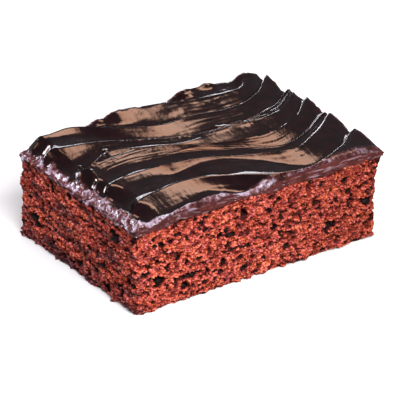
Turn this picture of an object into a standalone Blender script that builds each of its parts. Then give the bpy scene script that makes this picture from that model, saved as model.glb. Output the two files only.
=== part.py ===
"""An iced chocolate brownie: a cut slab of open-crumbed cake under a layer of swirled icing.

Metres, +Z up. The origin is at the middle of the footprint, on the table. +X runs along the long side,
-Y is the long cut side, -X is the short side where the swirls begin, and +Y is the far long side.
"""

import math
import random
from collections import namedtuple

import bmesh
import bpy
from mathutils import Vector, noise

MM = 0.001

# The slab, before its cut sides crumble.
LENGTH = 84.0 * MM
WIDTH = 60.4 * MM
CAKE_HEIGHT = 24.8 * MM  # at the front edge
TOP_TILT = 0.020  # the cake has risen this much more for each unit towards the back
CORNER_RADIUS = 1.4 * MM
CRUMB_GRID = 1.75 * MM  # spacing of the points on the cut sides

# How far each cut side leans out (+) or in (-) from the upright, at the base, the waist and the top.
WAIST_SHARE = 0.5
LEAN_LEFT = (0.5 * MM, 0.3 * MM, 0.0)
LEAN_RIGHT = (-2.5 * MM, -1.8 * MM, 1.5 * MM)
LEAN_FRONT = (0.9 * MM, 0.5 * MM, 0.0)
LEAN_BACK = (0.3 * MM, -0.2 * MM, 0.1 * MM)

# Relief of the torn crumb.
CRAG_SIZE = 5.5 * MM
CRAG_HEIGHT = 1.1 * MM
LUMP_SIZE = 2.3 * MM
LUMP_HEIGHT = 0.65 * MM
CHIPPED_EDGE = 0.9 * MM  # most that the bottom edge is chipped away
LIFT_RIGHT = 1.0 * MM  # how far the bottom edge is broken up at the right end
BASE_RING = 2  # rows of the underside, from its edge, that may be chipped

# Large holes that show in the two near sides: distance along the side, height and radius in millimetres.
FRONT_HOLES = (
    (-34, 8, 1.9), (-26, 6.8, 1.3), (-22.5, 7.2, 1.3), (-26.5, 3.8, 1.5), (-14, 16, 1.4),
    (5, 13, 1.2), (25.5, 8.4, 1.8), (37, 12, 1.7), (17.5, 22.6, 1.6), (30.5, 21.3, 1.3),
)
LEFT_HOLES = ((22, 8, 1.9), (14, 8.3, 1.3), (-18.5, 19.5, 1.8), (-25, 8, 1.7), (-22, 4.8, 1.9), (5, 3, 1.4))

# Smaller bubbles, scattered over the four cut sides.
BUBBLE_SEED = 23
BUBBLES_A_SIDE = {"front": 16, "back": 22, "left": 8, "right": 14}
BUBBLE_RADII = (1.0 * MM, 1.7 * MM)
BUBBLE_MARGIN = 3.0 * MM  # kept clear along the edges of a side
BUBBLE_FLATNESS = 0.65  # a bubble's height over its width

# The icing.
ICING_GAP = 0.3 * MM  # between the two solids
OUT_LEFT = 0.3 * MM  # how far the icing's cut sides stand out from the slab
OUT_RIGHT = 1.4 * MM
OUT_SIDES = 0.4 * MM
THINNEST = 0.8 * MM
FLOOR_LEFT = 1.2 * MM  # icing under a groove, where the strokes begin
FLOOR_RIGHT = 2.9 * MM
FLOOR_FRONT_CUT = 1.6 * MM  # how much less there is at the front edge
FLOOR_FRONT_WIDTH = 9.0 * MM
LEFT_CRESTS = 0.78  # height of a crest at the left end over its height at the right
SWELL_FROM = 2.0 * MM  # the strokes swell to full height between these distances from the left end
SWELL_TO = 11.0 * MM
NARROW_SLOPE = 0.55  # a crest that would rise more than this over the width of its stroke
NARROW_FILL = 0.6  # has this share of the rest filled in at the bottom of its groove
RIM_HEIGHT = 1.7 * MM  # lumpy bead of icing along the left end
RIM_INSET = 3.0 * MM
RIM_WIDTH = 1.9 * MM
RIM_LUMPS = 0.4  # how much its height varies
EDGE_ROUND = 1.4 * MM  # rounding of the top edge where the knife went through
ICING_COLUMN = 1.75 * MM
STEEP_SHARE = 0.16  # part of a stroke taken up by the back of the crest in front of it
DISH_POWER = 1.5  # how hollow the blade left the long side of a stroke
WIDE_ROWS = (0.0, 0.08, 0.16, 0.33, 0.53, 0.74, 0.91)  # rows across a stroke, as shares of its width
NARROW_ROWS = (0.0, 0.16, 0.5, 0.85)
WELD = 0.1 * MM  # points nearer than this are joined once the sheet is cut
SIDE_ROWS = 3  # rows of faces down the cut side of the icing

# Crest lines of the strokes from front to back, in millimetres: where each one is at STATIONS along the
# slab, its height over the cake at the right end, and the rows between it and the crest behind it.
STATIONS = (-44, -34, -25, -15, -4, 8, 20, 32, 44)
Stroke = namedtuple("Stroke", "crest rows places")
STROKES = (
    Stroke(4.6, WIDE_ROWS, (-50, -44, -41, -41, -43, -52, -56, -56, -48)),
    Stroke(4.6, WIDE_ROWS, (-38, -32.5, -30.2, -29.7, -31, -38, -43, -43, -34)),
    Stroke(5.0, WIDE_ROWS, (-28, -21.3, -17.4, -18, -24.6, -30.6, -31, -26.8, -17)),
    Stroke(5.4, NARROW_ROWS, (-15.5, -8.6, -5, -5.8, -9, -14.8, -16.7, -13.6, -5.6)),
    Stroke(5.0, WIDE_ROWS, (-7.5, -2, 0.8, -0.6, -5.2, -11.6, -14.4, -11.2, -3.4)),
    Stroke(6.0, WIDE_ROWS, (-1.5, 2.6, 6, 3.6, -1.8, -6.2, -7.3, -2.5, 5.3)),
    Stroke(5.4, WIDE_ROWS, (21.5, 18, 14.6, 10.6, 6.2, 3.2, 2.8, 6.2, 13)),
    Stroke(6.2, WIDE_ROWS, (31, 29, 26, 20.6, 15, 13, 12.8, 16.4, 24.6)),
    Stroke(5.8, WIDE_ROWS, (42, 38, 35.4, 31.6, 28, 24, 21.6, 24, 33)),
    Stroke(7.0, WIDE_ROWS, (54, 49, 45.5, 42, 37, 32, 29.8, 32, 41)),
    Stroke(6.4, WIDE_ROWS, (66, 60, 56, 52, 47, 42, 39.8, 42, 52)),
)


def smoothstep(value, start, end):
    share = min(1.0, max(0.0, (value - start) / (end - start)))
    return share * share * (3.0 - 2.0 * share)


def clear_scene():
    for obj in list(bpy.data.objects):
        bpy.data.objects.remove(obj)


def make_collection(name):
    collection = bpy.data.collections.new(name)
    bpy.context.scene.collection.children.link(collection)
    return collection


def make_material(name, colour, roughness):
    material = bpy.data.materials.new(name)
    material.use_nodes = True
    shader = material.node_tree.nodes["Principled BSDF"]
    shader.inputs["Base Color"].default_value = (*colour, 1.0)
    shader.inputs["Roughness"].default_value = roughness
    shader.inputs["Metallic"].default_value = 0.0
    return material


def make_object(name, bm, material, collection):
    mesh = bpy.data.meshes.new(name)
    bm.normal_update()
    bm.to_mesh(mesh)
    bm.free()
    mesh.materials.append(material)
    mesh.shade_smooth()
    mesh.set_sharp_from_angle(angle=math.radians(40))
    obj = bpy.data.objects.new(name, mesh)
    collection.objects.link(obj)
    return obj


# The cake


def cake_top(y):
    """Height of the cake's flat top, under the icing."""
    return CAKE_HEIGHT + TOP_TILT * (y + WIDTH / 2)


def lean(leans, height_share):
    """A side's offset at this share of the height, bent at the waist."""
    base, waist, top = leans
    if height_share < WAIST_SHARE:
        return base + (waist - base) * height_share / WAIST_SHARE
    return waist + (top - waist) * (height_share - WAIST_SHARE) / (1.0 - WAIST_SHARE)


def rounded_corner(x, y):
    """Moves a point of the slab's outline onto its rounded corners. Returns it with its outward direction."""
    inner_x = LENGTH / 2 - CORNER_RADIUS
    inner_y = WIDTH / 2 - CORNER_RADIUS
    past_x = abs(x) - inner_x
    past_y = abs(y) - inner_y
    if past_x > 0 and past_y > 0:
        out = Vector((math.copysign(past_x, x), math.copysign(past_y, y), 0.0)).normalized()
        corner = Vector((math.copysign(inner_x, x), math.copysign(inner_y, y), 0.0))
        moved = corner + out * CORNER_RADIUS
        return moved.x, moved.y, out
    if past_x > past_y:
        return x, y, Vector((math.copysign(1.0, x), 0.0, 0.0))
    return x, y, Vector((0.0, math.copysign(1.0, y), 0.0))


def crumb_relief(point):
    """How far the torn crumb stands out here."""
    crags = noise.noise(point / CRAG_SIZE) * CRAG_HEIGHT
    lumps = noise.noise(point / LUMP_SIZE + Vector((7.0, 3.0, 5.0))) * LUMP_HEIGHT
    return crags + lumps


def hole_places():
    """Centre, radius and outward direction of every large hole."""
    front, left = Vector((0, -1, 0)), Vector((-1, 0, 0))
    for x, z, radius in FRONT_HOLES:
        yield Vector((x * MM, -WIDTH / 2, z * MM)), radius * MM, front
    for y, z, radius in LEFT_HOLES:
        yield Vector((-LENGTH / 2, y * MM, z * MM)), radius * MM, left
    chance = random.Random(BUBBLE_SEED)
    for side, count in BUBBLES_A_SIDE.items():
        along_x = side in ("front", "back")
        out = {"front": front, "back": -front, "left": left, "right": -left}[side]
        half = (LENGTH if along_x else WIDTH) / 2 - BUBBLE_MARGIN
        for _ in range(count):
            along = chance.uniform(-half, half)
            height = chance.uniform(BUBBLE_MARGIN, CAKE_HEIGHT - BUBBLE_MARGIN)
            edge = out * (WIDTH if along_x else LENGTH) / 2
            centre = edge + Vector((along if along_x else 0.0, 0.0 if along_x else along, height))
            yield centre, chance.uniform(*BUBBLE_RADII), out


def hole_depth(point, holes):
    """How deep the deepest hole is at a point of a cut side."""
    deepest = 0.0
    for centre, radius, out in holes:
        offset = point - centre
        if abs(offset.dot(out)) > radius:
            continue
        across = offset - out * offset.dot(out)
        reach = math.hypot(across.x, across.y, across.z / BUBBLE_FLATNESS) / radius
        if reach < 1.0:
            deepest = max(deepest, radius * math.sqrt(1.0 - reach * reach))
    return deepest


def cake_grid():
    """A box whose faces are cut into a grid, with its top and underside left whole inside their edge rows."""
    bm = bmesh.new()
    bmesh.ops.create_cube(bm, size=1.0)
    bmesh.ops.scale(bm, vec=(LENGTH, WIDTH, CAKE_HEIGHT), verts=bm.verts)
    bmesh.ops.translate(bm, vec=(0.0, 0.0, CAKE_HEIGHT / 2), verts=bm.verts)
    for axis, size in enumerate((LENGTH, WIDTH, CAKE_HEIGHT)):
        along = [e for e in bm.edges if abs((e.verts[0].co - e.verts[1].co)[axis]) > CRUMB_GRID]
        bmesh.ops.subdivide_edges(bm, edges=along, cuts=round(size / CRUMB_GRID) - 1, use_grid_fill=True)
    step = max(LENGTH / round(LENGTH / CRUMB_GRID), WIDTH / round(WIDTH / CRUMB_GRID))

    def inside(face, rows):
        centre = face.calc_center_median()
        room = (rows - 0.1) * step
        return abs(centre.x) < LENGTH / 2 - room and abs(centre.y) < WIDTH / 2 - room

    bm.normal_update()
    top = [f for f in bm.faces if f.normal.z > 0.9 and inside(f, 0)]
    bmesh.ops.dissolve_faces(bm, faces=top, use_verts=True)
    base = [f for f in bm.faces if f.normal.z < -0.9 and inside(f, BASE_RING)]
    bmesh.ops.dissolve_faces(bm, faces=base, use_verts=True)
    return bm


def shape_cake(bm):
    """Leans the sides, rounds the corners, opens the crumb and chips the bottom edge."""
    holes = list(hole_places())
    on_edge = 1e-6
    for vert in bm.verts:
        x, y, z = vert.co
        share = z / CAKE_HEIGHT
        at_side = abs(abs(x) - LENGTH / 2) < on_edge or abs(abs(y) - WIDTH / 2) < on_edge
        if not at_side:
            ring = min(LENGTH / 2 - abs(x), WIDTH / 2 - abs(y))
            if z < on_edge and ring < (BASE_RING - 0.5) * CRUMB_GRID:
                vert.co.z += CHIPPED_EDGE * 0.5 * max(0.0, noise.noise(vert.co / CRAG_SIZE))
                vert.co.z += 0.6 * LIFT_RIGHT * smoothstep(x, 0.0, LENGTH / 2)
            continue
        x, y, out = rounded_corner(x, y)
        place = Vector((x, y, z))
        top_calm = 1.0 - 0.6 * smoothstep(share, 0.85, 1.0)  # the icing holds the crumb at the very top
        place += out * (crumb_relief(place) * top_calm - hole_depth(place, holes) * top_calm)
        place.x += out.x * lean(LEAN_LEFT if out.x < 0 else LEAN_RIGHT, share)
        place.y += out.y * lean(LEAN_FRONT if out.y < 0 else LEAN_BACK, share)
        if z < on_edge:
            chip = CHIPPED_EDGE * max(0.0, 0.4 + noise.noise(place / LUMP_SIZE))
            place -= out * chip
            place.z += 0.7 * chip + LIFT_RIGHT * smoothstep(x, 0.0, LENGTH / 2)
        vert.co = place
    for vert in bm.verts:
        if vert.co.z > CAKE_HEIGHT - on_edge:
            vert.co.z = cake_top(vert.co.y)


# The icing


def crest_y(stroke, x):
    """Where a crest line is, at this distance along the slab, on a smooth curve through its places."""
    x = x / MM
    last = len(STATIONS) - 2
    span = min(last, max(0, sum(station <= x for station in STATIONS) - 1))
    before, start, end, after = (stroke.places[min(last + 1, max(0, span + i))] for i in (-1, 0, 1, 2))
    share = (x - STATIONS[span]) / (STATIONS[span + 1] - STATIONS[span])
    slope_start = (end - before) / 2
    slope_end = (after - start) / 2
    bend = 3 * (end - start) - 2 * slope_start - slope_end
    twist = 2 * (start - end) + slope_start + slope_end
    return (start + share * (slope_start + share * (bend + share * twist))) * MM


def groove_floor(x, y):
    """Thickness of the icing under a groove."""
    floor = FLOOR_LEFT + (FLOOR_RIGHT - FLOOR_LEFT) * smoothstep(x, -LENGTH / 2, LENGTH / 3)
    near_front = 1.0 - smoothstep(y + WIDTH / 2, 0.0, FLOOR_FRONT_WIDTH)
    return floor - FLOOR_FRONT_CUT * near_front


def crest_height(stroke, x):
    """Height of a crest over the cake, which grows from left to right."""
    share = x / LENGTH + 0.5
    return stroke.crest * MM * (LEFT_CRESTS + (1.0 - LEFT_CRESTS) * share)


def icing_height(x, y, share, number):
    """Thickness of the icing at this share of the way from one crest to the next one behind it."""
    front, back = STROKES[number], STROKES[number + 1]
    floor = groove_floor(x, y)
    width = crest_y(back, x) - crest_y(front, x)
    too_steep = max(0.0, crest_height(back, x) - floor - NARROW_SLOPE * width)
    bottom = floor + NARROW_FILL * too_steep
    if share < STEEP_SHARE:
        fall = (1.0 + math.cos(math.pi * share / STEEP_SHARE)) / 2
        height = bottom + (crest_height(front, x) - bottom) * fall
    else:
        climb = (share - STEEP_SHARE) / (1.0 - STEEP_SHARE)
        height = bottom + (crest_height(back, x) - bottom) * climb**DISH_POWER
    swell = smoothstep(x + LENGTH / 2, SWELL_FROM, SWELL_TO)
    rim_lumps = 1.0 + RIM_LUMPS * noise.noise(Vector((x, y, 0.0)) / CRAG_SIZE)
    rim = RIM_HEIGHT * rim_lumps * math.exp(-(((x + LENGTH / 2 - RIM_INSET) / RIM_WIDTH) ** 2))
    return floor + (height - floor) * swell + rim


def edge_drop(x, y):
    """How much lower the top is near a cut edge, where it rounds over."""
    left = x + LENGTH / 2 + OUT_LEFT
    right = LENGTH / 2 + OUT_RIGHT - x
    front = y + WIDTH / 2 + OUT_SIDES
    back = WIDTH / 2 + OUT_SIDES - y
    inset = max(0.0, min(left * 0.7, right * 2.0, front * 1.2, back * 1.2))
    if inset >= EDGE_ROUND:
        return 0.0
    return EDGE_ROUND - math.sqrt(EDGE_ROUND**2 - (EDGE_ROUND - inset) ** 2)


def icing_sheet():
    """The waved sheet, wider than the slab, with its rows along the crest lines."""
    start = -LENGTH / 2 - OUT_LEFT - ICING_COLUMN / 2
    end = LENGTH / 2 + OUT_RIGHT + ICING_COLUMN / 2
    columns = round((end - start) / ICING_COLUMN)
    rows = [(i, share) for i in range(len(STROKES) - 1) for share in STROKES[i].rows]
    rows.append((len(STROKES) - 2, 1.0))
    bm = bmesh.new()
    bmesh.ops.create_grid(bm, x_segments=columns, y_segments=len(rows) - 1, size=0.5)
    for vert in bm.verts:
        number, share = rows[round((vert.co.y + 0.5) * (len(rows) - 1))]
        x = start + (end - start) * (vert.co.x + 0.5)
        front_y = crest_y(STROKES[number], x)
        y = front_y + share * (crest_y(STROKES[number + 1], x) - front_y)
        vert.co = (x, y, icing_height(x, y, share, number))
    return bm


def cut_to_slab(bm):
    """Cuts the sheet off at the four sides, as the knife did."""
    sides = (
        ((-LENGTH / 2 - OUT_LEFT, 0.0, 0.0), (-1.0, 0.0, 0.0)),
        ((LENGTH / 2 + OUT_RIGHT, 0.0, 0.0), (1.0, 0.0, 0.0)),
        ((0.0, -WIDTH / 2 - OUT_SIDES, 0.0), (0.0, -1.0, 0.0)),
        ((0.0, WIDTH / 2 + OUT_SIDES, 0.0), (0.0, 1.0, 0.0)),
    )
    for place, outwards in sides:
        everything = bm.verts[:] + bm.edges[:] + bm.faces[:]
        bmesh.ops.bisect_plane(bm, geom=everything, plane_co=place, plane_no=outwards, clear_outer=True)
    bmesh.ops.remove_doubles(bm, verts=bm.verts, dist=WELD)
    bmesh.ops.dissolve_degenerate(bm, edges=bm.edges, dist=0.02 * MM)


def close_icing(bm):
    """Sets the sheet on the cake, draws its edge down to the cake and closes the underside."""
    for vert in bm.verts:
        thickness = max(THINNEST, vert.co.z - edge_drop(vert.co.x, vert.co.y))
        vert.co.z = cake_top(vert.co.y) + ICING_GAP + thickness
    ring = [e for e in bm.edges if e.is_boundary]
    for row in range(SIDE_ROWS):
        made = bmesh.ops.extrude_edge_only(bm, edges=ring)["geom"]
        left = SIDE_ROWS - row
        for vert in (v for v in made if isinstance(v, bmesh.types.BMVert)):
            foot = cake_top(vert.co.y) + ICING_GAP
            vert.co.z = foot + (vert.co.z - foot) * (left - 1) / left
        ring = [e for e in made if isinstance(e, bmesh.types.BMEdge)]
    bmesh.ops.contextual_create(bm, geom=ring)
    bmesh.ops.recalc_face_normals(bm, faces=bm.faces)


def centre_footprint(objects):
    """Moves the pieces together so that the origin is at the middle of the footprint, at its lowest point."""
    points = [v.co for obj in objects for v in obj.data.vertices]
    low = Vector(min(p[axis] for p in points) for axis in range(3))
    high = Vector(max(p[axis] for p in points) for axis in range(3))
    shift = Vector((-(low.x + high.x) / 2, -(low.y + high.y) / 2, -low.z))
    for obj in objects:
        for vert in obj.data.vertices:
            vert.co += shift


def make_cake(collection):
    bm = cake_grid()
    shape_cake(bm)
    crumb = make_material("crumb", (0.30, 0.060, 0.040), 0.85)
    return make_object("cake", bm, crumb, collection)


def make_icing(collection):
    bm = icing_sheet()
    cut_to_slab(bm)
    close_icing(bm)
    chocolate = make_material("icing", (0.028, 0.013, 0.012), 0.2)
    return make_object("icing", bm, chocolate, collection)


def main():
    clear_scene()
    brownie = make_collection("brownie")
    pieces = [make_cake(brownie), make_icing(brownie)]
    centre_footprint(pieces)


main()
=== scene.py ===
# %% [markdown]
# # An iced chocolate brownie
#
# A brownie is cut from a tray. Two things make it look like one: a torn, open crumb on the cut sides, and a
# layer of glossy chocolate icing that somebody swept into waves with a palette knife. This lesson makes
# both as meshes with real relief, and then gives each a material that reads that relief.
#
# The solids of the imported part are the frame. They say where the slab is and how big it is, and the two
# detailed pieces made here stand in for them.

import math
import random
import time
from collections import namedtuple
from contextlib import contextmanager

import bpy
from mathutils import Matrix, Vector, kdtree, noise


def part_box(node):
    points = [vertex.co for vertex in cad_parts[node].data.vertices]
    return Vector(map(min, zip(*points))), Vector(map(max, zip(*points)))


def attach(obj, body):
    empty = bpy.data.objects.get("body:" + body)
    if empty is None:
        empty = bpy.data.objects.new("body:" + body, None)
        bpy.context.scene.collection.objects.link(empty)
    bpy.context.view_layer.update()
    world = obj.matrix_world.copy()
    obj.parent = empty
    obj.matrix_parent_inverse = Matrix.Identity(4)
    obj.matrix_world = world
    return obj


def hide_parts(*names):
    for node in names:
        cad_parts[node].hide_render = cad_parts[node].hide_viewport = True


started = time.time()
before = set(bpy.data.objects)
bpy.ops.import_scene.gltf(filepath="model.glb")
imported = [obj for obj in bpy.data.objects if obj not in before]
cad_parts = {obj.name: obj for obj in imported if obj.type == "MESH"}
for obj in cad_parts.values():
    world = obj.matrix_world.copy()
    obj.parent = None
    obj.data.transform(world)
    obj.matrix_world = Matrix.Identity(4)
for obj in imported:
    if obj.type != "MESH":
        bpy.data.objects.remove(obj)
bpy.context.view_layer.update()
icing_low, icing_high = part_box("icing")
MM = 0.001
print("frame:", sorted(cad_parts))

# %% [markdown]
# ## The camera
#
# The photograph was taken with a long lens from the front left and a little above. Fitting the slab's
# corners gave the angle, and a distance of 65 cm, which suits a small piece of cake on a studio table. The
# camera is made first, because everything after it is judged through it.

# %% The camera
VIEW_AZIMUTH = math.radians(-35.1)
VIEW_ELEVATION = math.radians(26.1)
VIEW_DISTANCE = 650.0 * MM
AIM = Vector((0.0, 0.0, 12.0 * MM))
FOCAL_LENGTH = 201.9
SHIFT = (0.0011, -0.0059)  # moves the slab to its place in the photograph, in shares of the picture's width

towards_camera = Vector(
    (
        math.sin(VIEW_AZIMUTH) * math.cos(VIEW_ELEVATION),
        -math.cos(VIEW_AZIMUTH) * math.cos(VIEW_ELEVATION),
        math.sin(VIEW_ELEVATION),
    )
)
camera_data = bpy.data.cameras.new("camera")
camera_data.lens = FOCAL_LENGTH
camera_data.sensor_width = 36.0
camera_data.shift_x, camera_data.shift_y = SHIFT
camera_data.clip_start = 0.01
camera = bpy.data.objects.new("camera", camera_data)
camera.location = AIM + towards_camera * VIEW_DISTANCE
camera.rotation_euler = towards_camera.to_track_quat("Z", "Y").to_euler()
bpy.context.scene.collection.objects.link(camera)
bpy.context.scene.camera = camera
print("camera at", [round(v, 3) for v in camera.location])

# %% [markdown]
# ## Helpers for modelling
#
# Blender's operators act on whatever is selected, and a new primitive comes in selected all over. These few
# helpers keep that under control: one deselects everything, one picks edges by a rule, and one enters and
# leaves edit mode.


# %% Helpers for modelling
TINY = 1e-6  # places nearer than this, in metres, are the same


@contextmanager
def edit_mode():
    """Edit mode for the lines in a with block. Object mode comes back after them."""
    bpy.ops.object.mode_set(mode="EDIT")
    yield
    bpy.ops.object.mode_set(mode="OBJECT")


def deselect_all():
    bpy.ops.object.select_all(action="DESELECT")


def select_only(obj):
    deselect_all()
    obj.select_set(True)
    bpy.context.view_layer.objects.active = obj


def select_edges(obj, wanted):
    """Selects the edges whose two end points satisfy wanted(a, b). It is called in object mode."""
    mesh = obj.data
    for part in (mesh.polygons, mesh.edges, mesh.vertices):
        part.foreach_set("select", [False] * len(part))
    for edge in mesh.edges:
        a, b = (mesh.vertices[i].co for i in edge.vertices)
        if wanted(a, b):
            edge.select = True
            for i in edge.vertices:
                mesh.vertices[i].select = True


def smoothstep(value, start, end):
    share = min(1.0, max(0.0, (value - start) / (end - start)))
    return share * share * (3.0 - 2.0 * share)


def waves(point, size):
    """Smooth noise from about -1 to 1, with waves of about this size in mm."""
    return noise.noise(point / (size * MM))


def add_attribute(mesh, name, values):
    attribute = mesh.attributes.new(name=name, type="FLOAT", domain="POINT")
    attribute.data.foreach_set("value", values)


def triangles(mesh):
    return sum(len(face.vertices) - 2 for face in mesh.polygons)


print("helpers ready")

# %% [markdown]
# ## The cake: a plain slab first
#
# The cake is a baked slab with four cut sides. It could be sculpted, or made by cutting bubbles out of a
# block, but a cut side of cake is nearly a height field: from the knife's plane, crumbs stand out and
# bubbles go in. So it starts as a box whose walls are subdivided finely enough for the crumbs, and only the
# walls are, because the icing hides the top and the underside is flat.
#
# The number of cuts has a limit in one go, so the long edges are cut twice.

# %% The cake's slab
LENGTH = 84.0 * MM
WIDTH = 60.4 * MM
CAKE_HEIGHT = 24.8 * MM
WALL_STEP = 0.29 * MM

deselect_all()
slab_size = (LENGTH, WIDTH, CAKE_HEIGHT)
bpy.ops.mesh.primitive_cube_add(size=1.0, location=(0.0, 0.0, CAKE_HEIGHT / 2), scale=slab_size)
cake = bpy.context.object
cake.name = cake.data.name = "crumb"
bpy.ops.object.transform_apply(location=True, rotation=True, scale=True)

with edit_mode():
    bpy.ops.mesh.select_mode(type="FACE")
    bpy.ops.mesh.select_all(action="DESELECT")
for face in cake.data.polygons:
    face.select = abs(face.normal.z) > 0.5
with edit_mode():
    bpy.ops.mesh.delete(type="ONLY_FACE")


def cut_edges(obj, axis, *rounds):
    """Cuts every edge along an axis into so many pieces, and each of those again in the next round."""
    for pieces in rounds:
        select_edges(obj, lambda a, b: abs((a - b)[axis]) > TINY)
        with edit_mode():
            bpy.ops.mesh.select_mode(type="EDGE")
            bpy.ops.mesh.subdivide(number_cuts=pieces - 1, quadcorner="INNERVERT")


cut_edges(cake, 0, 3, round(LENGTH / WALL_STEP / 3))
cut_edges(cake, 1, 3, round(WIDTH / WALL_STEP / 3))
cut_edges(cake, 2, round(CAKE_HEIGHT / WALL_STEP))
print("cake walls:", len(cake.data.polygons), "faces", f"{time.time() - started:.1f} s")

# %% [markdown]
# The slab's foot is closed with three narrow rings and one large face: the rings give the broken lower edge
# something to bend, and the large face stays flat, as the tray left it. The top is one hidden face. Both
# are made by selecting the open border, extruding it and drawing it inwards, or just filling it.


# %% Closing the slab
def select_border(obj, height):
    """Selects the open edges at this height."""
    select_edges(obj, lambda a, b: max(abs(a.z - height), abs(b.z - height)) < TINY)


FOOT_RINGS = (0.994, 0.985, 0.970)  # each ring's size over the slab's

select_border(cake, 0.0)
with edit_mode():
    last_size = 1.0
    for size in FOOT_RINGS:
        change = size / last_size
        bpy.ops.mesh.extrude_edges_move()
        bpy.ops.transform.resize(value=(change, change, 1.0), center_override=(0.0, 0.0, 0.0))
        last_size = size
    bpy.ops.mesh.edge_face_add()

select_border(cake, CAKE_HEIGHT)
with edit_mode():
    bpy.ops.mesh.edge_face_add()
    bpy.ops.mesh.select_all(action="SELECT")
    bpy.ops.mesh.normals_make_consistent(inside=False)
print("closed slab:", triangles(cake.data), "triangles")

# %% [markdown]
# ## Crumb
#
# Torn crumb has three sizes of relief. Crags of about 5 mm are where a piece of cake came away with the
# knife. Crumbs of about 1 mm are the walls between bubbles, rounded, with narrow dark gaps. Bubbles are the
# pits, from 0.5 mm up to the few large ones near the bottom.
#
# Noise gives the first, a cell pattern gives the second, since the distance to the nearest two cell centres
# says where a crumb is and where its gap is, and the third is a mix of a threshold on noise, for ragged
# tears, and of named holes where the photograph shows them.

# %% The slab's outline
CORNER_RADIUS = 1.4 * MM
TOP_TILT = 0.020  # how steeply the cake's top rises towards its rear
TILT_REACH = 6.0 * MM
WAIST = 0.5  # the waist's height over the cake's
# How far each side stands out at its foot, its waist and its top.
LEAN_LEFT = (0.5 * MM, 0.3 * MM, 0.0)
LEAN_RIGHT = (-2.5 * MM, -1.8 * MM, 1.5 * MM)
LEAN_FRONT = (0.9 * MM, 0.5 * MM, 0.0)
LEAN_BACK = (0.3 * MM, -0.2 * MM, 0.1 * MM)
ICING_OUT_LEFT = 0.3 * MM
ICING_OUT_RIGHT = 1.4 * MM
centre_x = (icing_low[0] + icing_high[0] + ICING_OUT_LEFT - ICING_OUT_RIGHT) / 2
slab_centre = Vector((centre_x, (icing_low[1] + icing_high[1]) / 2, 0.0))


def cake_top(x, y):
    """The cake's top rises a little towards its rear, except at the left end."""
    return CAKE_HEIGHT + TOP_TILT * (y + WIDTH / 2) * smoothstep(x + LENGTH / 2, 0.0, TILT_REACH)


def lean(leans, share):
    """How far a side stands out at this share of its height."""
    base, waist, top = leans
    if share < WAIST:
        return base + (waist - base) * share / WAIST
    return waist + (top - waist) * (share - WAIST) / (1.0 - WAIST)


def outline(x, y):
    """Where on the rounded outline a point of the box's outline goes, and its outward direction."""
    inner_x = LENGTH / 2 - CORNER_RADIUS
    inner_y = WIDTH / 2 - CORNER_RADIUS
    past_x = abs(x) - inner_x
    past_y = abs(y) - inner_y
    if past_x > 0 and past_y > 0:
        out = Vector((math.copysign(past_x, x), math.copysign(past_y, y), 0.0)).normalized()
        corner = Vector((math.copysign(inner_x, x), math.copysign(inner_y, y), 0.0))
        return corner + out * CORNER_RADIUS, out
    if past_x > past_y:
        return Vector((x, y, 0.0)), Vector((math.copysign(1.0, x), 0.0, 0.0))
    return Vector((x, y, 0.0)), Vector((0.0, math.copysign(1.0, y), 0.0))


# Along the front, the joint of crumb and icing lies at these places this much above the cake's height, in mm.
JOINT_FRONT = (
    (-44, -0.6), (-32, -0.5), (-27, 0.6), (-21, 0.0), (-16, 0.7), (-8, 1.1), (-1, 0.8),
    (4, 0.1), (11, 0.7), (20, 0.0), (27, 0.5), (35, 0.4), (44, 0.9),
)
FRONT_REACH = 2.0 * MM
JOINT_WAVE = 0.8 * MM
OVERLAP = 0.4 * MM  # the crumb reaches this far up behind the icing


def joint_rise(x, y):
    """How far the joint of crumb and icing lies above its nominal height at this place of the cut."""
    wave = JOINT_WAVE * waves(Vector((x, y, 0.0)), 3.3)
    wave += 0.5 * JOINT_WAVE * waves(Vector((x, y, 5.0 * MM)), 1.3)
    if y > -WIDTH / 2 + FRONT_REACH:
        return wave
    places = [place for place, _ in JOINT_FRONT]
    last = min(len(places) - 2, max(0, sum(place * MM <= x for place in places) - 1))
    (start, low), (end, high) = JOINT_FRONT[last : last + 2]
    return 0.5 * wave + (low + (high - low) * smoothstep(x, start * MM, end * MM)) * MM


print("slab centre in mm:", [round(v / MM, 2) for v in slab_centre])

# %% [markdown]
# The large holes catch the eye, so they go where the photograph has them. The other bubbles are scattered
# over all four sides by chance, more small ones than large ones. Each takes a bowl out of the wall whose
# rim is ragged.

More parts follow.
